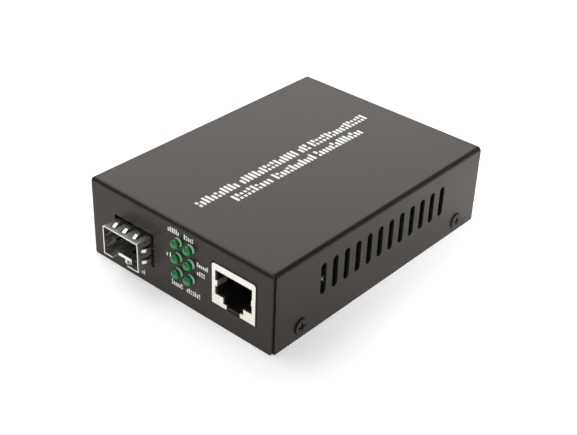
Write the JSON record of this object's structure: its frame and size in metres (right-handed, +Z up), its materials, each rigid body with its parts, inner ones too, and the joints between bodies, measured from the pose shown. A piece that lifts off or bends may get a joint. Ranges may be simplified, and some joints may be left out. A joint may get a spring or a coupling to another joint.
{
  "type": "fibre media converter",
  "caption": "Small folded steel box with an empty SFP cage, a shielded RJ45 socket and indicator lamps in front, slotted sides and a DC inlet at the back.",
  "frame": {"origin": "middle of the flat underside, under the middle of the folded box without its protruding cage", "axes": "+Z up out of the roof, -Y out of the front panel with the sockets, +X towards the RJ45 socket's side"},
  "size_m": [0.0724, 0.1001, 0.026],
  "materials": {
    "grey_powder_coat": "dark warm grey powder coat on folded steel sheet",
    "black_screws": "blackened steel",
    "nickel_plate": "satin nickel plate on thin sheet",
    "jack_shield": "satin nickel plate on thin sheet",
    "zinc_standoff": "zinc plated steel",
    "gold_contact": "gold flash on bronze spring wire",
    "tinned_leads": "bright tin",
    "board_green": "solder mask on glass epoxy board",
    "black_moulding": "moulded black plastic",
    "chip_black": "moulded epoxy",
    "green_lamp": "translucent green epoxy",
    "can_aluminium": "drawn aluminium",
    "crystal_can": "pressed bright can",
    "ferrite": "ferrite",
    "resistor_ceramic": "ceramic with dark coat"
  },
  "bodies": {
    "root": {"base_plate": "grey_powder_coat", "board_screws": "zinc_standoff", "board_standoffs": "zinc_standoff", "capacitor_bases": "black_moulding", "capacitor_cans": "can_aluminium", "chip_resistors": "resistor_ceramic", "circuit_board": "board_green", "converter_chip": "chip_black", "converter_chip_leads": "tinned_leads", "cover_screws": "black_screws", "crystal_can": "crystal_can", "dc_jack_contacts": "tinned_leads", "dc_jack_housing": "black_moulding", "dc_jack_pin": "nickel_plate", "diode_straps": "tinned_leads", "housing_shell": "grey_powder_coat", "indicator_lamp_left_bottom": "green_lamp", "indicator_lamp_left_middle": "green_lamp", "indicator_lamp_left_top": "green_lamp", "indicator_lamp_right_bottom": "green_lamp", "indicator_lamp_right_middle": "green_lamp", "indicator_lamp_right_top": "green_lamp", "lamp_holder": "black_moulding", "lamp_leads": "tinned_leads", "line_transformer": "chip_black", "line_transformer_leads": "tinned_leads", "power_inductor": "ferrite", "rectifier_diode": "chip_black", "rj45_contacts": "gold_contact", "rj45_housing": "black_moulding", "rj45_shield": "jack_shield", "sfp_cage_floor": "nickel_plate", "sfp_cage_shell": "nickel_plate", "sfp_connector_body": "black_moulding", "sfp_connector_contacts": "gold_contact", "small_chip_leads": "tinned_leads", "small_chips": "chip_black"}
  },
  "joints": []
}
